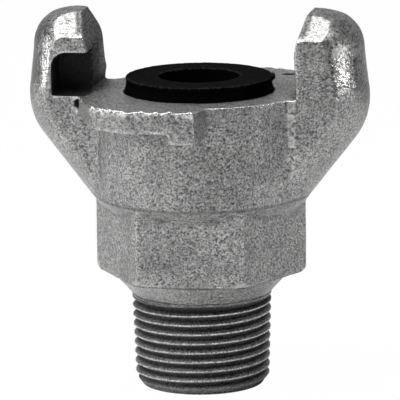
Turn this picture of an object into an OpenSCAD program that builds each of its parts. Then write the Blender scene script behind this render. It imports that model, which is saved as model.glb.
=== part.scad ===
// Claw hose coupling: a cast half coupling with a tapered male thread, and its rubber gasket.
// Millimetres. The origin is the middle of the threaded end face, +Z runs along the waterway
// to the claws and +X runs through one claw. The head is the same when turned half round about Z,
// so one claw with its lip is modelled beside +X and the second is that one turned.

/* [Thread] */
// Diameter over the crests where the thread meets the cone
thread_d = 26.67; // [22:0.01:30]
// Distance from crest to crest
thread_pitch = 1.814; // [1.2:0.001:2.2]
// Height of the threaded shank
thread_len = 17.5; // [14:0.5:22]
// Bevel at the open end of the shank
end_bevel = 1.7; // [1:0.1:2.5]
// Diameter of the waterway
bore_d = 17.5; // [12:0.1:18.5]

/* [Hexagon] */
// Size across the flats
hex_flats = 35.2; // [33:0.1:37]
// Height of the hexagon up to the round barrel
hex_h = 15; // [10:0.1:20]
// Turn of the hexagon against the line of the claws
hex_turn = 3.3; // [-6:0.1:6]
// Height of the cone between the thread and the hexagon
cone_h = 4.3; // [3:0.1:7]

/* [Barrel] */
// Diameter of the round barrel under the claws
barrel_d = 40.4; // [39:0.1:43]
// Height of the barrel up to the sealing face
barrel_h = 19.9; // [17:0.1:26]

/* [Lips] */
// Diameter that the lips are turned to
lip_d = 53.8; // [50:0.2:56]
// Distance from the axis to the flat front of a lip
lip_front = 25.2; // [23.5:0.1:26]
// Thickness of a lip
lip_t = 4.2; // [3:0.1:5.5]
// Thickness of the detent block at the tip of a lip
detent_t = 6.1; // [5.6:0.1:8]
// Length of the detent block
detent_len = 4.8; // [3:0.1:7]
// How far a lip reaches past the middle
lip_tip = 3.5; // [0:0.1:5]
// Diameter of the safety clip hole in one lip
clip_hole_d = 2.4; // [1.5:0.1:3]

/* [Claws] */
// Clear distance between the two claws
claw_gap = 40.2; // [38:0.1:42]
// Size over the two claws
claw_span = 65.2; // [62:0.1:70]
// Width of a claw at its foot
claw_w = 19.6; // [16:0.1:22]
// Width of the flat on top of a claw
claw_top_w = 9; // [6:0.5:12]
// Height of a claw above the sealing face
claw_h = 15.5; // [13:0.1:19]
// Slope of the arm from upright
arm_slope = 38; // [34:1:42]
// Radius of the round bar that makes claw and arm
form_r = 12.5; // [11.5:0.1:14]
// Height of the pocket above the sealing face
pocket_h = 8.2; // [7:0.1:9.5]
// Depth of the pocket outwards from the inner face
pocket_depth = 6.4; // [4:0.1:7.5]
// Length of the pocket from the open cheek to its stop
pocket_len = 6; // [4:0.1:12]
// Radius of the upper outer corner of the pocket
pocket_corner_r = 2.7; // [1:0.1:4]

/* [Gasket] */
// Diameter of the gasket where it leaves the body
gasket_d = 28.4; // [26:0.1:30]
// Diameter of the hole in the gasket
gasket_hole_d = 15.4; // [12:0.1:17]
// How far the gasket stands above the sealing face
gasket_rise = 2.85; // [1.5:0.05:4]
// Diameter of the foot that is held in the body
foot_d = 31.2; // [30.6:0.1:33]

/* [Hidden] */
$fn = 96;

// Heights from the threaded end
hex_z = thread_len + cone_h;
barrel_z = hex_z + hex_h;
face_z = barrel_z + barrel_h;
claw_top_z = face_z + claw_h;

// Thread: 1 in 16 taper on the diameter, truncated sharp crests
taper = 1 / 32;
crest_r = thread_d / 2;
thread_depth = 0.64 * thread_pitch;
crest_flat = 0.12 * thread_pitch;
run_out = 0.45 * thread_pitch;
turns = floor((thread_len - run_out - end_bevel) / thread_pitch);
thread_z = thread_len - run_out - turns * thread_pitch;

// Hexagon and barrel
bore_r = bore_d / 2;
barrel_r = barrel_d / 2;
hex_r = hex_flats / 2 / cos(30);
hex_edge = 0.8;
cone_rim = 0.7;
shoulder_h = 2.6;

// Claw: a round bar with flat cheeks that bends from the slope of the arm to upright
claw_in = claw_gap / 2;
claw_out = claw_span / 2;
bend = [claw_out - form_r, 0, face_z - 0.8];
draft = 1;
dome_r = 7.4;
arm_z = hex_z + hex_h / 2;
cheek_top = claw_h - 4.3;
inner_lean = 1.7;
lean_z = face_z + pocket_h + 0.6;
fillet_r = 3;
cheek_end = sqrt(form_r * form_r - claw_w * claw_w / 4);

// Lip: slanted tip, and a heel that runs into the arm
tip_slant = 1.5;
heel_out = [16.4, 22];
heel_in = [21.4, claw_w / 2];
clip_pos = [14.2, 18.6];

// Gasket seat: an undercut bore that grips the foot
foot_t = 2.5;
seat_depth = 5.45;
seat_z = face_z - seat_depth;
seat_play = 0.1;
foot_play = 0.3;
waist = 0.35;

overlap = 1;
half_turn = [0, 180];

// The second of two like features, turned half round about the axis of the bore
module both_sides() {
    for (turn = half_turn) rotate([0, 0, turn]) children();
}

// A solid turned about Z between two heights
module ring(r_in, r_out, z_low, z_high) {
    rotate_extrude() translate([r_in, z_low]) square([r_out - r_in, z_high - z_low]);
}

// Radius over the crests at a height of the shank
function crest_at(z) = crest_r - (thread_len - z) * taper;

// One thread groove in the outline of the shank, from crest to root and back
function groove(z) = [
    [crest_at(z) - thread_depth, z + thread_pitch / 2 - crest_flat / 2],
    [crest_at(z) - thread_depth, z + thread_pitch / 2 + crest_flat / 2],
    [crest_at(z + thread_pitch), z + thread_pitch - crest_flat / 2],
    [crest_at(z + thread_pitch), z + thread_pitch + crest_flat / 2]
];

// Threaded shank and cone. The grooves are rings at the true pitch.
module shank() {
    rotate_extrude() polygon(concat(
        [[0, 0], [crest_at(0) - end_bevel, 0], [crest_at(end_bevel), end_bevel],
         [crest_at(thread_z), thread_z + crest_flat / 2]],
        [for (i = [0 : turns - 1]) each groove(thread_z + i * thread_pitch)],
        [[crest_r - cone_rim / 2, thread_len], [hex_flats / 2 - cone_rim, hex_z],
         [hex_flats / 2 - cone_rim, hex_z + overlap], [0, hex_z + overlap]]
    ));
}

// Hexagon with its corners and lower edge eased off
module hexagon() {
    intersection() {
        translate([0, 0, hex_z]) rotate([0, 0, hex_turn]) cylinder(r = hex_r, h = hex_h, $fn = 6);
        rotate_extrude() polygon([
            [0, hex_z], [barrel_r - hex_edge, hex_z], [barrel_r, hex_z + hex_edge],
            [barrel_r, barrel_z + overlap], [0, barrel_z + overlap]
        ]);
    }
}

// Round barrel with the sloping shoulder that runs out on the flats
module barrel() {
    rotate_extrude() polygon([
        [0, barrel_z - shoulder_h], [barrel_r - shoulder_h, barrel_z - shoulder_h],
        [barrel_r, barrel_z], [barrel_r, face_z], [0, face_z]
    ]);
}

// Half outline of the upright bar: drafted flank and domed top
module bar_outline() {
    dome_z = claw_top_z - dome_r;
    polygon([[0, bend.z], [form_r, bend.z], [form_r - draft, dome_z], [0, dome_z]]);
    translate([0, bend.z]) square([form_r - draft - dome_r, claw_top_z - bend.z]);
    translate([form_r - draft - dome_r, dome_z]) intersection() {
        circle(dome_r);
        square(dome_r);
    }
}

// Outer form of claw and arm: upright bar, ball at the bend, sloping bar
module claw_form() {
    translate([bend.x, 0, 0]) rotate_extrude() bar_outline();
    translate(bend) sphere(form_r);
    translate(bend) rotate([0, 180 + arm_slope, 0]) cylinder(r = form_r, h = bend.z);
}

// Claw seen along X: upright cheeks and slanted top edges
module cheek_outline() {
    polygon([
        [-claw_w / 2, arm_z], [claw_w / 2, arm_z], [claw_w / 2, face_z + cheek_top],
        [claw_top_w / 2, claw_top_z], [-claw_top_w / 2, claw_top_z],
        [-claw_w / 2, face_z + cheek_top]
    ]);
}

// What is kept of a claw above the face: nothing inside the leaning inner face
module inner_outline() {
    polygon([
        [0, arm_z], [0, face_z], [claw_in, face_z], [claw_in, lean_z],
        [claw_in + inner_lean, claw_top_z], [claw_out + overlap, claw_top_z],
        [claw_out + overlap, arm_z]
    ]);
}

// Pocket that takes the lip of the other half, open inwards and to +Y
module pocket() {
    corner_z = face_z + pocket_h - pocket_corner_r;
    corner_x = claw_in + pocket_depth - pocket_corner_r;
    stop_y = claw_w / 2 - pocket_len;
    translate([0, stop_y + pocket_len + overlap, 0]) rotate([90, 0, 0])
        linear_extrude(pocket_len + overlap) {
            translate([claw_in - overlap, face_z])
                square([corner_x - claw_in + overlap, pocket_h]);
            translate([claw_in, face_z]) square([pocket_depth, pocket_h - pocket_corner_r]);
            translate([corner_x, corner_z]) circle(pocket_corner_r);
        }
}

// Rounds the upright corner between a cheek of the arm and the barrel; it runs out where the
// sloping bar sinks into the barrel
module arm_fillet() {
    reach = barrel_r + fillet_r;
    mid = [sqrt(reach * reach - pow(claw_w / 2 + fillet_r, 2)), claw_w / 2 + fillet_r];
    touch = mid * (barrel_r / reach);
    intersection() {
        translate([0, 0, barrel_z]) linear_extrude(barrel_h) difference() {
            polygon([[touch.x - fillet_r, claw_w / 2 - overlap], [mid.x, claw_w / 2 - overlap],
                     [mid.x, claw_w / 2], touch, touch - [fillet_r, 0]]);
            translate(mid) circle(fillet_r);
        }
        translate(bend) rotate([0, 180 + arm_slope, 0])
            translate([-cheek_end, -claw_w, 0]) cube([claw_out, 2 * claw_w, bend.z]);
    }
}

module claw() {
    difference() {
        intersection() {
            claw_form();
            rotate([90, 0, 90]) linear_extrude(claw_out + overlap) cheek_outline();
            translate([0, claw_w, 0]) rotate([90, 0, 0]) linear_extrude(2 * claw_w) inner_outline();
        }
        pocket();
    }
    translate([0, -claw_w / 2, bend.z - claw_in / 2])
        cube([claw_in, claw_w, face_z - bend.z + claw_in / 2]);
    arm_fillet();
    mirror([0, 1, 0]) arm_fillet();
}

// Outline of a lip from above: turned rim, flat front, slanted tip
module lip_outline() {
    intersection() {
        circle(lip_d / 2);
        polygon([
            [-lip_tip - tip_slant, 0], [-lip_tip - tip_slant, barrel_r - overlap],
            [-lip_tip, lip_front], [heel_out.x - overlap, lip_front], heel_out, heel_in,
            [heel_in.x, 0]
        ]);
    }
}

// Lip with its thicker detent block; the other half's claw rides under it
module lip() {
    translate([0, 0, face_z - lip_t]) linear_extrude(lip_t) lip_outline();
    translate([0, 0, face_z - detent_t]) linear_extrude(detent_t) intersection() {
        lip_outline();
        translate([-lip_tip - tip_slant, 0])
            square([detent_len + tip_slant, lip_front]);
    }
}

// Bore, gasket seat with its undercut, and the hole for the safety clip
module cuts() {
    ring(0, bore_r, -overlap, face_z);
    ring(0, gasket_d / 2 + seat_play, seat_z, face_z + overlap);
    ring(0, foot_d / 2 + foot_play, seat_z, seat_z + foot_t + seat_play);
    translate([clip_pos.x, clip_pos.y, face_z - lip_t - overlap])
        cylinder(d = clip_hole_d, h = lip_t + 2 * overlap);
}

module coupling_body() {
    color("silver") difference() {
        union() {
            shank();
            hexagon();
            barrel();
            both_sides() { claw(); lip(); }
        }
        cuts();
    }
}

module gasket() {
    top_z = face_z + gasket_rise;
    color("dimgray") rotate_extrude() polygon([
        [gasket_hole_d / 2, seat_z], [foot_d / 2, seat_z], [foot_d / 2, seat_z + foot_t],
        [gasket_d / 2, seat_z + foot_t], [gasket_d / 2, face_z],
        [gasket_d / 2 - waist, face_z + gasket_rise / 2], [gasket_d / 2 - waist / 2, top_z],
        [gasket_hole_d / 2, top_z]
    ]);
}

coupling_body();
gasket();
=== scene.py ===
import bpy, bmesh
import math
from mathutils import Vector, Matrix


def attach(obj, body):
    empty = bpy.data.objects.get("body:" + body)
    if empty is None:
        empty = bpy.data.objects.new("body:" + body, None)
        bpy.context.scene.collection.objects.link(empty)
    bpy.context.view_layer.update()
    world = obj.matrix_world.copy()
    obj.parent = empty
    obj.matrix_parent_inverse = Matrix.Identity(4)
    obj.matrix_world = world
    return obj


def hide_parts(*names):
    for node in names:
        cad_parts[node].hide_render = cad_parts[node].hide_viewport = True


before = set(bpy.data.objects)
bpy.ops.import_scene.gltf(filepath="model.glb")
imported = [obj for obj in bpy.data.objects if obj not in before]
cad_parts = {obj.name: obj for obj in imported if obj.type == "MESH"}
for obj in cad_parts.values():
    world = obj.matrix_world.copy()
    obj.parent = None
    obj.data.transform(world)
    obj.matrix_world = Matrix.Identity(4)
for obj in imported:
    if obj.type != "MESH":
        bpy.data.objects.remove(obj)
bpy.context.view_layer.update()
mm = 0.001
print("frame loaded")


# ---- small helpers

def makeActive(piece):
    bpy.ops.object.select_all(action="DESELECT")
    piece.select_set(True)
    bpy.context.view_layer.objects.active = piece


def newFromOp(name):
    # the object that the last add operator made
    piece = bpy.context.active_object
    piece.name = name
    piece.data.name = name
    return piece


def openEdit(piece, kind="VERT"):
    makeActive(piece)
    bpy.ops.object.mode_set(mode="EDIT")
    bpy.ops.mesh.select_mode(type=kind)
    bpy.ops.mesh.select_all(action="DESELECT")


def closeEdit():
    bpy.ops.object.mode_set(mode="OBJECT")


def pickVerts(piece, test):
    # call inside edit mode, test gets a place in metres
    mesh = bmesh.from_edit_mesh(piece.data)
    for v in mesh.verts:
        v.select = test(v.co)
    mesh.select_flush_mode()
    bmesh.update_edit_mesh(piece.data)


def applyModifier(piece, kind, **settings):
    makeActive(piece)
    modifier = piece.modifiers.new(kind.title(), kind)
    for key, value in settings.items():
        setattr(modifier, key, value)
    bpy.ops.object.modifier_apply(modifier=modifier.name)


def cutOrJoin(piece, other, way, selfTouching=False):
    applyModifier(piece, "BOOLEAN", object=other, operation=way, solver="EXACT", use_self=selfTouching)
    bpy.data.objects.remove(other)


def placeInMesh(piece):
    makeActive(piece)
    bpy.ops.object.transform_apply(location=True, rotation=True, scale=True)


def copyOfNode(nodeName, pieceName):
    piece = bpy.data.objects.new(pieceName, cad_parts[nodeName].data.copy())
    bpy.context.scene.collection.objects.link(piece)
    piece.data.name = pieceName
    piece.data.materials.clear()
    openEdit(piece)
    bpy.ops.mesh.select_all(action="SELECT")
    bpy.ops.mesh.remove_doubles(threshold=0.001 * mm)
    closeEdit()
    return piece


def smoothShade(piece, angle=None):
    makeActive(piece)
    if angle is None:
        bpy.ops.object.shade_smooth()
    else:
        bpy.ops.object.shade_smooth_by_angle(angle=math.radians(angle))


# ---- materials

def addNode(tree, kind, label=None, **settings):
    node = tree.nodes.new(kind)
    if label:
        node.label = label
    for key, value in settings.items():
        setattr(node, key, value)
    return node


def mixColours(tree, factor, colourA, colourB, way="MIX"):
    node = addNode(tree, "ShaderNodeMix", data_type="RGBA", blend_type=way)
    for socket, value in ((0, factor), (6, colourA), (7, colourB)):
        if hasattr(value, "is_linked"):
            tree.links.new(value, node.inputs[socket])
        elif socket == 0:
            node.inputs[0].default_value = value
        else:
            node.inputs[socket].default_value = (*value, 1)
    return node.outputs[2]


def mathNode(tree, way, a, b=0.0, clamp=False):
    node = addNode(tree, "ShaderNodeMath", operation=way, use_clamp=clamp)
    for socket, value in ((0, a), (1, b)):
        if hasattr(value, "is_linked"):
            tree.links.new(value, node.inputs[socket])
        else:
            node.inputs[socket].default_value = value
    return node.outputs[0]


def remap(tree, value, low, high, newLow=0.0, newHigh=1.0, smooth=False):
    node = addNode(tree, "ShaderNodeMapRange", interpolation_type="SMOOTHSTEP" if smooth else "LINEAR")
    tree.links.new(value, node.inputs[0])
    for socket, number in zip((1, 2, 3, 4), (low, high, newLow, newHigh)):
        node.inputs[socket].default_value = number
    return node.outputs[0]


def noiseNode(tree, place, scale, detail=3.0, roughness=0.55, distortion=0.0):
    node = addNode(tree, "ShaderNodeTexNoise")
    tree.links.new(place, node.inputs["Vector"])
    if hasattr(scale, "is_linked"):
        tree.links.new(scale, node.inputs["Scale"])
    else:
        node.inputs["Scale"].default_value = scale
    node.inputs["Detail"].default_value = detail
    node.inputs["Roughness"].default_value = roughness
    node.inputs["Distortion"].default_value = distortion
    return node.outputs["Fac"]


def startGroup(name, inputs, outputs):
    group = bpy.data.node_groups.new(name, "ShaderNodeTree")
    for label, kind, value in inputs:
        socket = group.interface.new_socket(name=label, in_out="INPUT", socket_type=kind)
        socket.default_value = value
    for label, kind in outputs:
        group.interface.new_socket(name=label, in_out="OUTPUT", socket_type=kind)
    return group, addNode(group, "NodeGroupInput"), addNode(group, "NodeGroupOutput")


def makeGrainGroup():
    # sand-cast grain: a fine mottle, a coarser pebble and slow clouds, all on object coordinates
    group, gin, gout = startGroup(
        "castGrain",
        (("Fine Scale", "NodeSocketFloat", 3000.0), ("Pebble Scale", "NodeSocketFloat", 1250.0),
         ("Cloud Scale", "NodeSocketFloat", 150.0)),
        (("Fine", "NodeSocketFloat"), ("Pebble", "NodeSocketFloat"), ("Clouds", "NodeSocketFloat"),
         ("Height", "NodeSocketFloat"), ("Drag", "NodeSocketFloat")))
    place = addNode(group, "ShaderNodeTexCoord").outputs["Object"]
    fine = noiseNode(group, place, gin.outputs["Fine Scale"], 2.0, 0.6)
    pebble = noiseNode(group, place, gin.outputs["Pebble Scale"], 3.0, 0.62, 0.4)
    clouds = noiseNode(group, place, gin.outputs["Cloud Scale"], 2.0, 0.5)
    height = mathNode(group, "ADD", mathNode(group, "MULTIPLY", fine, 0.22), pebble)
    # turning and handling draw the grain of the flat face and the claws' inner faces out along Y
    drawn = addNode(group, "ShaderNodeVectorMath", operation="MULTIPLY")
    group.links.new(place, drawn.inputs[0])
    drawn.inputs[1].default_value = (1, 0.2, 1)
    drag = noiseNode(group, drawn.outputs[0], gin.outputs["Fine Scale"], 2.0, 0.6)
    for label, value in (("Fine", fine), ("Pebble", pebble), ("Clouds", clouds), ("Height", height), ("Drag", drag)):
        group.links.new(value, gout.inputs[label])
    return group


def makeWearAndShadeGroup():
    # bright rubbed arrises, and painted shade in creases and pockets from ambient occlusion
    group, gin, gout = startGroup(
        "wearAndHollowShade",
        (("Edge", "NodeSocketFloat", 0.0), ("Break Up", "NodeSocketFloat", 1200.0), ("Reach", "NodeSocketFloat", 0.002)),
        (("Worn", "NodeSocketFloat"), ("CreaseShade", "NodeSocketFloat"), ("PocketShade", "NodeSocketFloat")))
    place = addNode(group, "ShaderNodeTexCoord").outputs["Object"]
    breakUp = noiseNode(group, place, gin.outputs["Break Up"], 3.0, 0.65)
    # Edge is painted on the mesh: above 0 on arrises, below 0 in corners
    ragged = mathNode(group, "MULTIPLY", gin.outputs["Edge"], remap(group, breakUp, 0.35, 0.65, 0.4, 1.5))
    group.links.new(remap(group, ragged, 0.25, 0.9, smooth=True), gout.inputs["Worn"])
    # the two ambient occlusion masks below are painted shade for creases and for pockets
    for label, reach, open_, closed in (("CreaseShade", 1.0, 0.85, 0.3), ("PocketShade", 7.0, 0.64, 0.49)):
        hollowShade = addNode(group, "ShaderNodeAmbientOcclusion", samples=8, only_local=True)
        group.links.new(mathNode(group, "MULTIPLY", gin.outputs["Reach"], reach), hollowShade.inputs["Distance"])
        group.links.new(remap(group, hollowShade.outputs["AO"], open_, closed, smooth=True), gout.inputs[label])
    return group


castGrain = makeGrainGroup()
wearAndHollowShade = makeWearAndShadeGroup()


def useGroup(tree, group, **values):
    node = addNode(tree, "ShaderNodeGroup", node_tree=group)
    for key, value in values.items():
        node.inputs[key.replace("_", " ")].default_value = value
    return node


def startMaterial(name, metallic, roughness, specular=0.5):
    material = bpy.data.materials.new(name)
    material.use_nodes = True
    tree = material.node_tree
    shader = tree.nodes["Principled BSDF"]
    shader.inputs["Metallic"].default_value = metallic
    shader.inputs["Roughness"].default_value = roughness
    shader.inputs["Specular IOR Level"].default_value = specular
    return material, tree, shader


def bumpFrom(tree, shader, height, strength, distance):
    bump = addNode(tree, "ShaderNodeBump")
    bump.inputs["Strength"].default_value = strength
    bump.inputs["Distance"].default_value = distance
    tree.links.new(height, bump.inputs["Height"])
    tree.links.new(bump.outputs["Normal"], shader.inputs["Normal"])


def paintedMask(tree, name):
    return addNode(tree, "ShaderNodeAttribute", attribute_name=name).outputs["Fac"]


zincLook = {
    "light": (0.72, 0.72, 0.71), "dark": (0.10, 0.10, 0.10), "worn": (0.85, 0.85, 0.84),
    "paintedShade": (0.05, 0.05, 0.05), "hollowShade": (0.004, 0.004, 0.004), "rubAndHighlight": (1.0, 1.0, 0.99),
    "turned": (0.24, 0.24, 0.24), "shadeLines": ((36.95 * mm, 0.55 * mm), (21.95 * mm, 0.45 * mm)),
    "metallic": 0.85, "bodyRough": 0.38, "clawRough": 0.18, "bump": 1.0, "bumpDepth": 0.28 * mm,
    "tipBump": 0.4, "tipRough": 0.14,
}


def makeZincMaterial():
    look = zincLook
    material, tree, shader = startMaterial("castZinc", look["metallic"], 0.45)
    grain = useGroup(tree, castGrain)
    wear = useGroup(tree, wearAndHollowShade)
    tree.links.new(paintedMask(tree, "edge"), wear.inputs["Edge"])
    split = addNode(tree, "ShaderNodeSeparateXYZ")
    tree.links.new(addNode(tree, "ShaderNodeTexCoord").outputs["Object"], split.inputs[0])
    onTip = remap(tree, split.outputs[2], 62.5 * mm, 66 * mm, smooth=True)
    mottle = mathNode(tree, "ADD", mathNode(tree, "MULTIPLY", grain.outputs["Fine"], 0.7),
                      mathNode(tree, "MULTIPLY", grain.outputs["Pebble"], 0.3))
    upward = addNode(tree, "ShaderNodeSeparateXYZ")
    tree.links.new(addNode(tree, "ShaderNodeNewGeometry").outputs["Normal"], upward.inputs[0])
    flat = addNode(tree, "ShaderNodeMix", data_type="FLOAT")
    tree.links.new(remap(tree, upward.outputs[2], 0.85, 0.97, 0.0, 0.75), flat.inputs[0])
    tree.links.new(mottle, flat.inputs[2])
    tree.links.new(grain.outputs["Drag"], flat.inputs[3])
    tone = mixColours(tree, remap(tree, flat.outputs[0], 0.375, 0.625), look["dark"], look["light"])
    tone = mixColours(tree, remap(tree, upward.outputs[2], 0.85, 0.97, 0.0, 0.3), tone, look["turned"])
    tone = mixColours(tree, remap(tree, grain.outputs["Clouds"], 0.35, 0.75, 0.0, 0.35), tone, look["dark"])
    # painted shade: creases darkened by ambient occlusion, and corners darkened where the edge value is below 0
    tone = mixColours(tree, mathNode(tree, "MULTIPLY", wear.outputs["CreaseShade"], 0.75), tone, look["paintedShade"])
    cornerShade = remap(tree, paintedMask(tree, "edge"), -0.15, -0.9, 0.0, 0.7)
    tone = mixColours(tree, cornerShade, tone, look["paintedShade"])
    tone = mixColours(tree, mathNode(tree, "MULTIPLY", wear.outputs["Worn"], 0.4), tone, look["worn"])
    # painted shade beside the arms
    tone = mixColours(tree, paintedMask(tree, "armSideShade"), tone, look["paintedShade"])
    # painted shade lines under the barrel and under the hexagon
    for shadeLine, width in look["shadeLines"]:
        away = mathNode(tree, "ABSOLUTE", mathNode(tree, "SUBTRACT", split.outputs[2], shadeLine))
        tone = mixColours(tree, remap(tree, away, width, 0.2 * width, 0.0, 0.65), tone, look["paintedShade"])
    # bright line along each lip's upper front edge, partly rubbed zinc on the burr and partly painted highlight;
    # painted highlights round the blowhole and on the right arm's fillet
    rubAndHighlight = mathNode(tree, "MULTIPLY", paintedMask(tree, "rubAndHighlight"), remap(tree, grain.outputs["Pebble"], 0.44, 0.58))
    tone = mixColours(tree, rubAndHighlight, tone, look["rubAndHighlight"])
    # the turned cone over the thread is cleaner than the casting
    tone = mixColours(tree, remap(tree, split.outputs[2], 21.9 * mm, 21.4 * mm, 0.0, 0.12), tone, look["worn"])
    # painted shadow in the pockets, on the claws' inner faces, in the corner beside them, in the blowhole and round
    # the clip hole; it also lowers metallic and raises roughness so these places stay dark
    paintedShadow = mathNode(tree, "MAXIMUM", wear.outputs["PocketShade"], paintedMask(tree, "paintedShadow"))
    fromHole = addNode(tree, "ShaderNodeVectorMath", operation="DISTANCE")
    tree.links.new(addNode(tree, "ShaderNodeTexCoord").outputs["Object"], fromHole.inputs[0])
    fromHole.inputs[1].default_value = castForm["clipHole"]
    paintedShadow = mathNode(tree, "MAXIMUM", paintedShadow, remap(tree, fromHole.outputs["Value"], 1.55 * mm, 1.3 * mm))
    paintedShadow = mathNode(tree, "MULTIPLY", paintedShadow, remap(tree, grain.outputs["Drag"], 0.38, 0.62, 1.35, 0.8), True)
    tone = mixColours(tree, paintedShadow, tone, look["hollowShade"])
    tree.links.new(remap(tree, paintedShadow, 0.0, 0.9, look["metallic"], 0.1), shader.inputs["Metallic"])
    tree.links.new(tone, shader.inputs["Base Color"])
    # the claws are rubbed smoother than the body
    body = remap(tree, split.outputs[2], 56 * mm, 61 * mm, look["bodyRough"], look["clawRough"], smooth=True)
    rough = mathNode(tree, "ADD", mathNode(tree, "ADD", body, remap(tree, grain.outputs["Pebble"], 0.3, 0.7, -0.1, 0.1)),
                     mathNode(tree, "MULTIPLY", wear.outputs["CreaseShade"], 0.25))
    rough = mathNode(tree, "SUBTRACT", rough, mathNode(tree, "MULTIPLY", wear.outputs["Worn"], 0.12), True)
    rough = mathNode(tree, "ADD", rough, mathNode(tree, "MULTIPLY", paintedShadow, 0.45), True)
    rough = mathNode(tree, "ADD", rough, mathNode(tree, "MULTIPLY", onTip, look["tipRough"]), True)
    tree.links.new(rough, shader.inputs["Roughness"])
    relief = mathNode(tree, "MULTIPLY", grain.outputs["Height"], remap(tree, split.outputs[2], 54 * mm, 62 * mm, 1.0, look["tipBump"], True))
    bumpFrom(tree, shader, relief, look["bump"], look["bumpDepth"])
    return material


# the crest colour is a painted highlight and the root colour a painted shade
threadLook = {
    "crest": (0.66, 0.66, 0.65), "flank": (0.30, 0.30, 0.30), "root": (0.10, 0.10, 0.10),
    "fadeStart": 15.9 * mm,
    "metallic": 0.85, "bump": 0.35, "bumpDepth": 0.05 * mm,
}


def makeThreadMaterial():
    look = threadLook
    material, tree, shader = startMaterial("cutThread", look["metallic"], 0.4)
    grain = useGroup(tree, castGrain, Fine_Scale=3200.0, Pebble_Scale=1100.0, Cloud_Scale=160.0)
    # depth under the tapered crest line, from the object's own coordinates
    place = addNode(tree, "ShaderNodeTexCoord").outputs["Object"]
    split = addNode(tree, "ShaderNodeSeparateXYZ")
    tree.links.new(place, split.inputs[0])
    radius = mathNode(tree, "POWER", mathNode(tree, "ADD", mathNode(tree, "MULTIPLY", split.outputs[0], split.outputs[0]),
                      mathNode(tree, "MULTIPLY", split.outputs[1], split.outputs[1])), 0.5)
    crestLine = mathNode(tree, "ADD", mathNode(tree, "MULTIPLY", split.outputs[2], threadForm["taper"]),
                         threadForm["endRadius"])
    depth = mathNode(tree, "SUBTRACT", crestLine, radius)
    ragged = mathNode(tree, "ADD", depth, mathNode(tree, "MULTIPLY",
                      mathNode(tree, "SUBTRACT", grain.outputs["Pebble"], 0.5), 0.8 * mm))
    # by depth under the crest line, crests are painted light as a highlight and roots dark as shade
    tone = mixColours(tree, remap(tree, ragged, 0.06 * mm, 0.30 * mm, smooth=True), look["crest"], look["flank"])
    tone = mixColours(tree, remap(tree, ragged, 0.35 * mm, 1.0 * mm, smooth=True), tone, look["root"])
    # shallow turns under the cone painted dark with the root colour as shade, and the bevelled end, which the die left
    # rougher
    tone = mixColours(tree, remap(tree, split.outputs[2], look["fadeStart"], look["fadeStart"] + 0.3 * mm, 0.0, 0.85),
                      tone, look["root"])
    tone = mixColours(tree, remap(tree, split.outputs[2], 1.9 * mm, 1.0 * mm, 0.0, 0.8), tone, look["flank"])
    tone = mixColours(tree, 1.0, tone, remap(tree, grain.outputs["Fine"], 0.38, 0.62, 0.35, 1.6), "MULTIPLY")
    tree.links.new(tone, shader.inputs["Base Color"])
    tree.links.new(remap(tree, ragged, 0.0, 0.8 * mm, 0.32, 0.7), shader.inputs["Roughness"])
    bumpFrom(tree, shader, grain.outputs["Height"], look["bump"], look["bumpDepth"])
    return material


rubberLook = {
    "base": (0.0015, 0.0015, 0.0015), "dust": (0.007, 0.007, 0.007), "rim": (0.03, 0.03, 0.03), "roughness": 0.8,
    "bump": 0.35, "bumpDepth": 0.06 * mm,
}


def makeRubberMaterial():
    look = rubberLook
    material, tree, shader = startMaterial("blackRubber", 0.0, look["roughness"], 0.012)
    grain = useGroup(tree, castGrain, Fine_Scale=3000.0, Pebble_Scale=900.0, Cloud_Scale=220.0)
    wear = useGroup(tree, wearAndHollowShade, Break_Up=1400.0)
    tree.links.new(paintedMask(tree, "edge"), wear.inputs["Edge"])
    upward = addNode(tree, "ShaderNodeSeparateXYZ")
    tree.links.new(addNode(tree, "ShaderNodeNewGeometry").outputs["Normal"], upward.inputs[0])
    dusty = mathNode(tree, "MULTIPLY", remap(tree, upward.outputs[2], 0.6, 1.0),
                     remap(tree, grain.outputs["Fine"], 0.42, 0.62))
    tone = mixColours(tree, dusty, look["base"], look["dust"])
    tone = mixColours(tree, mathNode(tree, "MULTIPLY", wear.outputs["Worn"], 0.6), tone, look["rim"])
    tree.links.new(tone, shader.inputs["Base Color"])
    bumpFrom(tree, shader, grain.outputs["Height"], look["bump"], look["bumpDepth"])
    return material


# ---- threaded end: a real right-hand helix on a tapered core

threadForm = {
    "pitch": 1.814 * mm, "length": 17.5 * mm, "topRadius": 13.335 * mm, "taper": 1 / 32,
    "endRadius": 13.335 * mm - 17.5 * mm / 32, "depth": 1.16 * mm, "crestFlat": 0.2 * mm,
    "boreRadius": 8.75 * mm, "bevel": 1.7 * mm, "runOut": 1.3 * mm, "startTurns": 1.175, "steps": 96,
    "cutterSides": 110, "cutterTurns": (0.013, 0.021, 0.005, 0.029, 0.017), "volume": 4.3818e-6,
}


def lathe(name, outline, sides=96, turn=0.0):
    # a solid of rings, from a filled circle that is extruded and widened ring by ring
    bpy.ops.object.select_all(action="DESELECT")
    bpy.ops.mesh.primitive_circle_add(vertices=sides, radius=outline[0][0], fill_type="NGON",
                                      location=(0, 0, outline[0][1]), rotation=(0, 0, turn))
    piece = newFromOp(name)
    placeInMesh(piece)
    openEdit(piece, "FACE")
    bpy.ops.mesh.select_all(action="SELECT")
    for (oldRadius, oldHeight), (radius, height) in zip(outline, outline[1:]):
        bpy.ops.mesh.extrude_region_move(TRANSFORM_OT_translate={"value": (0, 0, height - oldHeight)})
        share = radius / oldRadius
        bpy.ops.transform.resize(value=(share, share, 1), center_override=(0, 0, height))
    bpy.ops.mesh.select_all(action="SELECT")
    bpy.ops.mesh.normals_make_consistent(inside=False)
    closeEdit()
    return piece


def solidVolume(piece):
    mesh = bmesh.new()
    mesh.from_mesh(piece.data)
    volume = mesh.calc_volume()
    mesh.free()
    return volume


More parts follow.
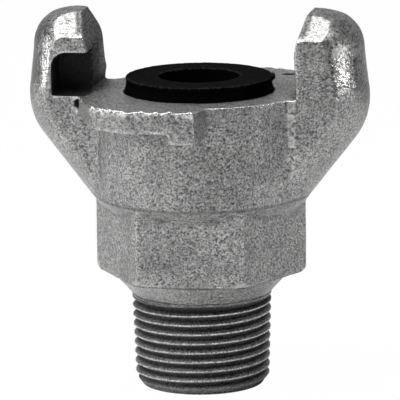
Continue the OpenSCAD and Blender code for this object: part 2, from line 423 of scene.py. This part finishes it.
def makeThreadedEnd(cutterTurn):
    form = threadForm
    pitch, rootRadius = form["pitch"], form["endRadius"] - form["depth"]
    low, top = -form["startTurns"] * pitch, form["length"]
    # tooth: a square turned upright, its outer side narrowed to the crest
    bpy.ops.object.select_all(action="DESELECT")
    inner = rootRadius - 0.25 * mm
    bpy.ops.mesh.primitive_plane_add(size=1, location=((inner + form["endRadius"]) / 2, 0, low),
                                     rotation=(math.pi / 2, 0, 0))
    tooth = newFromOp("threadRidge")
    tooth.scale = (form["endRadius"] - inner, pitch * 0.996, 1)
    placeInMesh(tooth)
    openEdit(tooth)
    pickVerts(tooth, lambda co: co.x > inner + 0.1 * mm)
    bpy.ops.transform.resize(value=(1, 1, form["crestFlat"] / pitch), center_override=(inner, 0, low))
    bpy.ops.mesh.select_all(action="SELECT")
    bpy.ops.mesh.delete(type="ONLY_FACE")
    closeEdit()
    turns = math.ceil((top - low) / pitch) + 1
    applyModifier(tooth, "SCREW", axis="Z", angle=2 * math.pi, screw_offset=pitch, iterations=turns,
                  steps=form["steps"], render_steps=form["steps"], use_merge_vertices=False)
    openEdit(tooth)
    bpy.ops.mesh.select_all(action="SELECT")
    bpy.ops.mesh.remove_doubles(threshold=0.0005 * mm)
    bpy.ops.mesh.select_all(action="SELECT")
    bpy.ops.mesh.fill_holes(sides=4)
    bpy.ops.mesh.select_all(action="SELECT")
    bpy.ops.mesh.normals_make_consistent(inside=False)
    closeEdit()
    core = lathe("pipeThread", [(rootRadius, low - pitch), (rootRadius, top + 3 * pitch)], form["steps"])
    cutOrJoin(core, tooth, "UNION")
    # three-cornered faces stay flat while the taper widens core and ridge alike with the height
    applyModifier(core, "TRIANGULATE")
    span = max(v.co.z for v in core.data.vertices) - min(v.co.z for v in core.data.vertices)
    applyModifier(core, "SIMPLE_DEFORM", deform_method="TAPER", deform_axis="Z",
                  factor=form["taper"] * span / form["endRadius"])
    atEnd = max(math.hypot(v.co.x, v.co.y) for v in core.data.vertices if abs(v.co.z) < 0.5 * mm)
    core.scale = (form["endRadius"] / atEnd, form["endRadius"] / atEnd, 1)
    placeInMesh(core)
    # where the die stopped, the groove fades out under the cone
    topRoot = form["topRadius"] - form["depth"]
    fade = lathe("threadFade", [(topRoot - 1 * mm, top - form["runOut"] - 1 * mm),
                                (form["topRadius"], top - 0.1 * mm), (form["topRadius"], top + pitch)],
                 form["cutterSides"], cutterTurn)
    cutOrJoin(core, fade, "UNION")
    envelope = lathe("threadEnvelope", [(form["endRadius"] - form["bevel"] * 0.72, 0),
                                        (form["endRadius"] + 0.05 * mm, form["bevel"]),
                                        (form["topRadius"] + 0.05 * mm, top + 0.3 * mm)],
                     form["cutterSides"], cutterTurn)
    cutOrJoin(core, envelope, "INTERSECT")
    bore = lathe("threadBore", [(form["boreRadius"], -pitch), (form["boreRadius"], top + 2 * pitch)],
                 form["cutterSides"], cutterTurn)
    cutOrJoin(core, bore, "DIFFERENCE")
    openEdit(core)
    bpy.ops.mesh.select_all(action="SELECT")
    bpy.ops.mesh.remove_doubles(threshold=0.004 * mm)
    bpy.ops.mesh.select_all(action="SELECT")
    bpy.ops.mesh.dissolve_degenerate(threshold=0.002 * mm)
    bpy.ops.mesh.select_all(action="SELECT")
    bpy.ops.mesh.fill_holes(sides=12)
    closeEdit()
    applyModifier(core, "BEVEL", width=0.06 * mm, segments=1, limit_method="ANGLE", angle_limit=math.radians(35))
    smoothShade(core, 30)
    return core


for cutterTurn in threadForm["cutterTurns"]:
    threadedEnd = makeThreadedEnd(cutterTurn)
    # a cut through near-touching faces can fail, the volume shows it
    if abs(solidVolume(threadedEnd) / threadForm["volume"] - 1) < 0.01:
        break
    bpy.data.objects.remove(threadedEnd)
threadedEnd.data.materials.append(makeThreadMaterial())
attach(threadedEnd, "root")
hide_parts("coupling_body")
print("thread cut:", len(threadedEnd.data.polygons), "faces")


# ---- cast head: claws, lips, barrel and hexagon with soft as-cast edges

castForm = {
    "cutHeight": 17.6 * mm, "voxel": 0.27 * mm, "softening": 7, "triangles": 190000,
    "pit": (-21.6 * mm, -9.84 * mm, 55.35 * mm), "pitDepth": 0.7 * mm, "clipHole": (14.2 * mm, 18.6 * mm, 56.4 * mm), "burrWave": 1.3 * mm, "burrHeight": 0.9 * mm, "edgeRounds": 30, "edgeReach": 0.11 * mm, "lumps": 0.10 * mm, "lumpSize": 2.6 * mm,
    "face": 56.7 * mm, "clawSoftening": 14, "lipSoftening": 26, "rearSoftening": 520, "innerFill": 0.4 * mm, "domeFill": 0.3 * mm,
}


def onRoundedClaw(co):
    # both halves are alike turned half round, so x > 0 stands for each claw
    x, y = (co.x, co.y) if co.x > 0 else (-co.x, -co.y)
    if co.z < castForm["face"] + 1 * mm or x < 19 * mm:
        return False
    return x > 28 * mm or (x > 22.2 * mm and not (y > 1 * mm and co.z < 66.5 * mm))


def rearCorner(co):
    # the rear corner of the left claw is rounder than the others
    if co.x > 0:
        return 0.0
    return fade(co.y, 1 * mm, 5 * mm) * fade(co.z, 59 * mm, 63 * mm)


def onCrispClaw(co):
    # the sharp edges round pocket, inner face and slanted tip
    return co.z > castForm["face"] - 0.5 * mm and abs(co.x) < 25.5 * mm


def onLipEdge(co):
    x, y = (co.x, co.y) if co.y > 0 else (-co.x, -co.y)
    onHeel = x > 12 * mm and y > 8.5 * mm and co.z < castForm["face"] - 0.7 * mm
    return co.z > 42 * mm and (onHeel or (y > 18.5 * mm and co.z < castForm["face"] - 1.4 * mm and x < 15 * mm))


def rimWeight(co):
    # upper front edge of each lip, where the zinc left a wavy burr
    x, y = (co.x, co.y) if co.y > 0 else (-co.x, -co.y)
    if co.z < castForm["face"] - 0.8 * mm or not -5 * mm < x < 17 * mm:
        return 0.0
    front = min(25.2 * mm - y, 26.9 * mm - math.hypot(x, y))
    share = 1.0 if co.y < 0 else 0.4
    return share * fade(0.8 * mm - front, 0, 0.5 * mm) * fade(x, -4.5 * mm, -3 * mm)


def pitWeight(co):
    # blowhole at the heel of the left claw
    place = castForm["pit"]
    away = math.sqrt(((co.x - place[0]) / 0.65) ** 2 + ((co.y - place[1]) / 1.2) ** 2 + ((co.z - place[2]) / 1.0) ** 2)
    return fade(1 * mm - away, 0, 0.45 * mm)


def armFilletHighlight(co):
    # painted highlight: a bright band on the fillet where the right arm leaves the barrel
    if co.y > -8 * mm:
        return 0.0
    return 0.55 * fade(1.1 * mm - abs(co.x - 19.3 * mm), 0, 0.6 * mm) * fade(co.z, 41 * mm, 45 * mm)


def besideArms(co):
    # painted shade: a darker strip of the barrel beside that band, and a thin dark line on the left side
    if co.y > -8 * mm or co.z > castForm["face"] - 1 * mm:
        return 0.0
    right = 0.2 * fade(2.2 * mm - abs(co.x - 16.1 * mm), 0, 0.9 * mm) * fade(co.z, 42 * mm, 45 * mm)
    left = 0.45 * fade(0.5 * mm - abs(co.x + 17.2 * mm), 0, 0.4 * mm) * fade(50 * mm - co.z, 0, 2 * mm)
    return max(right, left * fade(co.z, 40 * mm, 42 * mm))


def pitLipHighlight(co):
    # painted highlight on the lip round the upper left of the blowhole
    place = castForm["pit"]
    x, z = co.x - place[0], co.z - place[2]
    if abs(co.y - place[1]) > 1.5 * mm or z < -0.3 * mm or x > 0.9 * mm:
        return 0.0
    away = math.hypot(x / 0.7, z)
    return fade(away, 0.75 * mm, 1 * mm) * fade(1.6 * mm - away, 0, 0.4 * mm)


def raiseRim(piece):
    form = castForm
    group = piece.vertex_groups.new(name="rimBurr")
    for v in piece.data.vertices:
        weight = rimWeight(v.co)
        if weight > 0:
            group.add([v.index], weight, "REPLACE")
    waves = bpy.data.textures.new("burrWaves", "CLOUDS")
    waves.noise_scale = form["burrWave"]
    waves.noise_depth = 2
    applyModifier(piece, "DISPLACE", texture=waves, texture_coords="LOCAL", direction="Z",
                  strength=form["burrHeight"], mid_level=0.3, vertex_group="rimBurr")


def fade(value, low, high):
    share = min(max((value - low) / (high - low), 0.0), 1.0)
    return share * share * (3 - 2 * share)


def paintedShadowAt(co):
    # painted shadow in the pockets, on the claws' inner faces and in the corner below them, where the other half sits
    x, y = (co.x, co.y) if co.x > 0 else (-co.x, -co.y)
    z = co.z - castForm["face"]
    # the blowhole is darkened with painted shadow too
    if not 17 * mm < x < 27.2 * mm or z < -0.4 * mm:
        return pitWeight(co)
    inPocket = fade(y, 2.5 * mm, 3.8 * mm) * fade(9.0 * mm - z, 0, 0.5 * mm) * fade(26.8 * mm - x, 0, 0.3 * mm)
    inPocket *= 1.2 * fade(9.85 * mm - y, 0, 0.5 * mm) * fade(x, 19.6 * mm, 20.3 * mm)
    nearPocket = 0.64 + 0.45 * fade(y, -6 * mm, 2 * mm) * fade(10 * mm - z, 0, 4 * mm)
    innerFace = nearPocket * fade(21.2 * mm + max(0.0, z - 9 * mm) * 0.26 - x, 0, 0.4 * mm)
    innerFace *= fade(9.7 * mm - abs(y), 0, 1.2 * mm)
    cornerShade = 1.0 if z > 0.6 * mm else 0.6 * fade(x, 17 * mm, 19.8 * mm)
    return max(inPocket, innerFace * cornerShade)


def paint(piece, name, rule):
    layer = piece.data.attributes.new(name, "FLOAT", "POINT")
    layer.data.foreach_set("value", [rule(v.co) for v in piece.data.vertices])


def paintEdges(piece, rounds, reach):
    # how far a strong smoothing would push each point in or out tells arris from corner
    trial = piece.copy()
    trial.data = piece.data.copy()
    bpy.context.scene.collection.objects.link(trial)
    applyModifier(trial, "SMOOTH", factor=0.5, iterations=rounds)
    layer = piece.data.attributes.new("edge", "FLOAT", "POINT")
    layer.data.foreach_set("value", [(a.co - b.co).dot(a.normal) / reach
                                     for a, b in zip(piece.data.vertices, trial.data.vertices)])
    bpy.data.objects.remove(trial)


def softenWhere(piece, name, test, rounds):
    group = piece.vertex_groups.new(name=name)
    for v in piece.data.vertices:
        weight = float(test(v.co))
        if weight > 0:
            group.add([v.index], weight, "REPLACE")
    applyModifier(piece, "SMOOTH", factor=0.5, iterations=rounds, vertex_group=name)


def weighted(piece, name, rule):
    group = piece.vertex_groups.new(name=name)
    for v in piece.data.vertices:
        weight = rule(v.co)
        if weight > 0:
            group.add([v.index], weight, "REPLACE")
    return name


def onInnerFace(co, side):
    if co.x * side < 0:
        return 0.0
    full = 68 * mm if side > 0 else 60 * mm
    return fade(24.5 * mm - abs(co.x), 0, 4 * mm) * fade(co.z, 57 * mm, full)


def onOuterDome(co):
    low = 0.3 * fade(abs(co.x), 23 * mm, 30 * mm) * fade(co.z, 54 * mm, 60 * mm)
    high = 0.7 * fade(abs(co.x), 22.5 * mm, 26 * mm) * fade(co.z, 65 * mm, 69 * mm)
    return low + high * fade(72 * mm - co.z, 0, 1.2 * mm)


def fillClaws(piece):
    # softening takes a little off the claws, this gives it back
    form = castForm
    for name, side in (("innerRight", 1), ("innerLeft", -1)):
        weighted(piece, name, lambda co: onInnerFace(co, side))
        applyModifier(piece, "DISPLACE", direction="X", strength=-side * form["innerFill"], mid_level=0.0, vertex_group=name)
    weighted(piece, "outerDome", onOuterDome)
    applyModifier(piece, "DISPLACE", strength=form["domeFill"], mid_level=0.0, vertex_group="outerDome")


def makeCastHead():
    form = castForm
    head = copyOfNode("coupling_body", "castHead")
    openEdit(head)
    bpy.ops.mesh.select_all(action="SELECT")
    bpy.ops.mesh.bisect(plane_co=(0, 0, form["cutHeight"]), plane_no=(0, 0, 1), use_fill=True, clear_inner=True)
    closeEdit()
    applyModifier(head, "REMESH", mode="VOXEL", voxel_size=form["voxel"])
    applyModifier(head, "SMOOTH", factor=0.5, iterations=2)
    softenWhere(head, "castBody", lambda co: not onCrispClaw(co), form["softening"])
    softenWhere(head, "roundedClaws", onRoundedClaw, form["clawSoftening"])
    softenWhere(head, "lipEdges", onLipEdge, form["lipSoftening"])
    softenWhere(head, "rearCorner", rearCorner, form["rearSoftening"])
    lumps = bpy.data.textures.new("castLumps", "CLOUDS")
    lumps.noise_scale = form["lumpSize"]
    lumps.noise_depth = 2
    applyModifier(head, "DISPLACE", texture=lumps, texture_coords="LOCAL", strength=form["lumps"], mid_level=0.8)
    fillClaws(head)
    raiseRim(head)
    pit = head.vertex_groups.new(name="pit")
    for v in head.data.vertices:
        if pitWeight(v.co) > 0:
            pit.add([v.index], pitWeight(v.co), "REPLACE")
    applyModifier(head, "DISPLACE", strength=-form["pitDepth"], mid_level=0.0, vertex_group="pit")
    paintEdges(head, form["edgeRounds"], form["edgeReach"])
    if len(head.data.polygons) * 2 > form["triangles"]:
        applyModifier(head, "DECIMATE", ratio=form["triangles"] / (len(head.data.polygons) * 2))
    paint(head, "paintedShadow", paintedShadowAt)
    paint(head, "rubAndHighlight", lambda co: max(rimWeight(co), pitLipHighlight(co), armFilletHighlight(co)))
    paint(head, "armSideShade", besideArms)
    smoothShade(head)
    return head


castHead = makeCastHead()
castHead.data.materials.append(makeZincMaterial())
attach(castHead, "root")
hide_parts("coupling_body")
print("head cast:", sum(len(f.vertices) - 2 for f in castHead.data.polygons), "triangles")


# ---- gasket

gasketForm = {
    "voxel": 0.30 * mm, "softening": 2, "lumps": 0.14 * mm, "lumpSize": 0.9 * mm,
    "nub": (13.75 * mm, 1.9 * mm, 59.2 * mm), "nubSize": 0.55 * mm,
}


def makeGasket():
    form = gasketForm
    ring = copyOfNode("gasket", "rubberGasket")
    applyModifier(ring, "REMESH", mode="VOXEL", voxel_size=form["voxel"])
    applyModifier(ring, "SMOOTH", factor=0.5, iterations=form["softening"])
    # moulded rubber is a little ragged, with a flash nub on the rim
    ragged = bpy.data.textures.new("rubberRagged", "CLOUDS")
    ragged.noise_scale = form["lumpSize"]
    applyModifier(ring, "DISPLACE", texture=ragged, texture_coords="LOCAL", strength=form["lumps"], mid_level=0.75)
    nub = ring.vertex_groups.new(name="nub")
    for v in ring.data.vertices:
        near = fade(1 * mm - (v.co - Vector(form["nub"])).length, 0, 0.8 * mm)
        if near > 0:
            nub.add([v.index], near, "REPLACE")
    applyModifier(ring, "DISPLACE", strength=form["nubSize"], mid_level=0.0, vertex_group="nub")
    paintEdges(ring, 20, 0.2 * mm)
    smoothShade(ring)
    return ring


gasket = makeGasket()
gasket.data.materials.append(makeRubberMaterial())
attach(gasket, "root")
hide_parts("gasket")
print("gasket done:", len(gasket.data.polygons), "faces")


# ---- studio: white sweep, soft light from the upper left, overhead and a narrow one at the right

studio = {
    "floorSize": 6.0, "floorColour": (0.80, 0.80, 0.80), "floorGlow": 0.985,
    "ambient": 0.18, "frontReflection": 0.045, "sweepReflection": 0.29,
    # place, aimed at, width, height, watts, spread in degrees
    "leftBox": ((-0.38, -0.34, 0.38), (0, 0, 0.03), 0.30, 0.42, 1.42, 180),
    "topBox": ((-0.085, 0.0, 0.48), (0, 0, 0.06), 0.60, 0.42, 2.4, 180),
    "leftStrip": ((-0.30, -0.035, 0.082), (-0.03, 0, 0.067), 0.02, 0.06, 0.0011, 13),
    "rightStrip": ((0.30, -0.03, 0.080), (0.03, 0, 0.066), 0.012, 0.06, 0.0011, 13),
    "rightTop": ((0.26, -0.04, 0.36), (0.03, 0, 0.070), 0.18, 0.16, 0.011, 12),
    "leftTop": ((-0.30, -0.04, 0.34), (-0.03, 0, 0.070), 0.18, 0.16, 0.009, 12),
}


def softbox(name):
    place, target, width, height, watts, spread = studio[name]
    light = bpy.data.lights.new(name, "AREA")
    light.shape = "RECTANGLE"
    light.size, light.size_y, light.energy = width, height, watts
    light.spread = math.radians(spread)
    lamp = bpy.data.objects.new(name, light)
    lamp.location = place
    lamp.visible_camera = False
    lamp.rotation_euler = (Vector(target) - Vector(place)).to_track_quat("-Z", "Y").to_euler()
    bpy.context.scene.collection.objects.link(lamp)


def makeFloor():
    bpy.ops.object.select_all(action="DESELECT")
    bpy.ops.mesh.primitive_plane_add(size=studio["floorSize"], location=(0, 0, 0))
    floor = newFromOp("paperFloor")
    placeInMesh(floor)
    material = bpy.data.materials.new("paper")
    material.use_nodes = True
    tree = material.node_tree
    paper = tree.nodes["Principled BSDF"]
    paper.inputs["Base Color"].default_value = (*studio["floorColour"], 1)
    paper.inputs["Roughness"].default_value = 0.9
    glow = addNode(tree, "ShaderNodeEmission")
    glow.inputs["Strength"].default_value = 1.0
    mixed = addNode(tree, "ShaderNodeMixShader")
    rays = addNode(tree, "ShaderNodeLightPath")
    tree.links.new(mathNode(tree, "MULTIPLY", rays.outputs["Is Camera Ray"], studio["floorGlow"]), mixed.inputs[0])
    tree.links.new(paper.outputs[0], mixed.inputs[1])
    tree.links.new(glow.outputs[0], mixed.inputs[2])
    tree.links.new(mixed.outputs[0], tree.nodes["Material Output"].inputs["Surface"])
    floor.data.materials.append(material)


def makeWorld():
    world = bpy.data.worlds.new("studioRoom")
    bpy.context.scene.world = world
    world.use_nodes = True
    tree = world.node_tree
    shade = tree.nodes["Background"]
    rays = addNode(tree, "ShaderNodeLightPath")
    # metal sees the white sweep behind the object and the dimmer open room in front of it
    direction = addNode(tree, "ShaderNodeTexCoord").outputs["Generated"]
    split = addNode(tree, "ShaderNodeSeparateXYZ")
    tree.links.new(direction, split.inputs[0])
    sweep = remap(tree, split.outputs[1], 0.57, 0.78, studio["frontReflection"],
                  studio["sweepReflection"], smooth=True)
    mirrored = mathNode(tree, "MAXIMUM", rays.outputs["Is Glossy Ray"], rays.outputs["Is Transmission Ray"])
    seen = mixColours(tree, mirrored, (studio["ambient"],) * 3, (1, 1, 1))
    level = addNode(tree, "ShaderNodeMix", data_type="FLOAT")
    tree.links.new(mirrored, level.inputs[0])
    level.inputs[2].default_value = studio["ambient"]
    tree.links.new(sweep, level.inputs[3])
    final = addNode(tree, "ShaderNodeMix", data_type="FLOAT")
    tree.links.new(rays.outputs["Is Camera Ray"], final.inputs[0])
    tree.links.new(level.outputs[0], final.inputs[2])
    final.inputs[3].default_value = 1.0
    tree.links.new(final.outputs[0], shade.inputs["Strength"])
    shade.inputs["Color"].default_value = (1, 1, 1, 1)
    tree.nodes.remove(seen.node)


for boxName in ("leftBox", "topBox", "leftStrip", "rightStrip", "rightTop", "leftTop"):
    softbox(boxName)
makeFloor()
makeWorld()
bpy.context.scene.view_settings.view_transform = "Standard"

cameraView = {
    "azimuth": 10.68, "elevation": 11.743, "roll": 0.757, "distance": 0.83965, "height": 0.036,
    "lens": 396.64, "shiftX": -0.0016, "shiftY": -0.0089,
}


def makeCamera():
    look = cameraView
    a, e, r = (math.radians(look[k]) for k in ("azimuth", "elevation", "roll"))
    right = Vector((math.cos(a), math.sin(a), 0))
    back = Vector((math.sin(a) * math.cos(e), -math.cos(a) * math.cos(e), math.sin(e)))
    up = back.cross(right)
    rolledRight = right * math.cos(r) - up * math.sin(r)
    rolledUp = right * math.sin(r) + up * math.cos(r)
    lens = bpy.data.cameras.new("photoCamera")
    lens.lens, lens.sensor_width, lens.sensor_fit = look["lens"], 36, "HORIZONTAL"
    lens.shift_x, lens.shift_y = look["shiftX"], look["shiftY"]
    lens.clip_start, lens.clip_end = 0.01, 20
    camera = bpy.data.objects.new("photoCamera", lens)
    place = Vector((0, 0, look["height"])) + back * look["distance"]
    turn = Matrix((rolledRight, rolledUp, back)).transposed().to_4x4()
    camera.matrix_world = Matrix.Translation(place) @ turn
    bpy.context.scene.collection.objects.link(camera)
    bpy.context.scene.camera = camera


makeCamera()
print("studio ready")
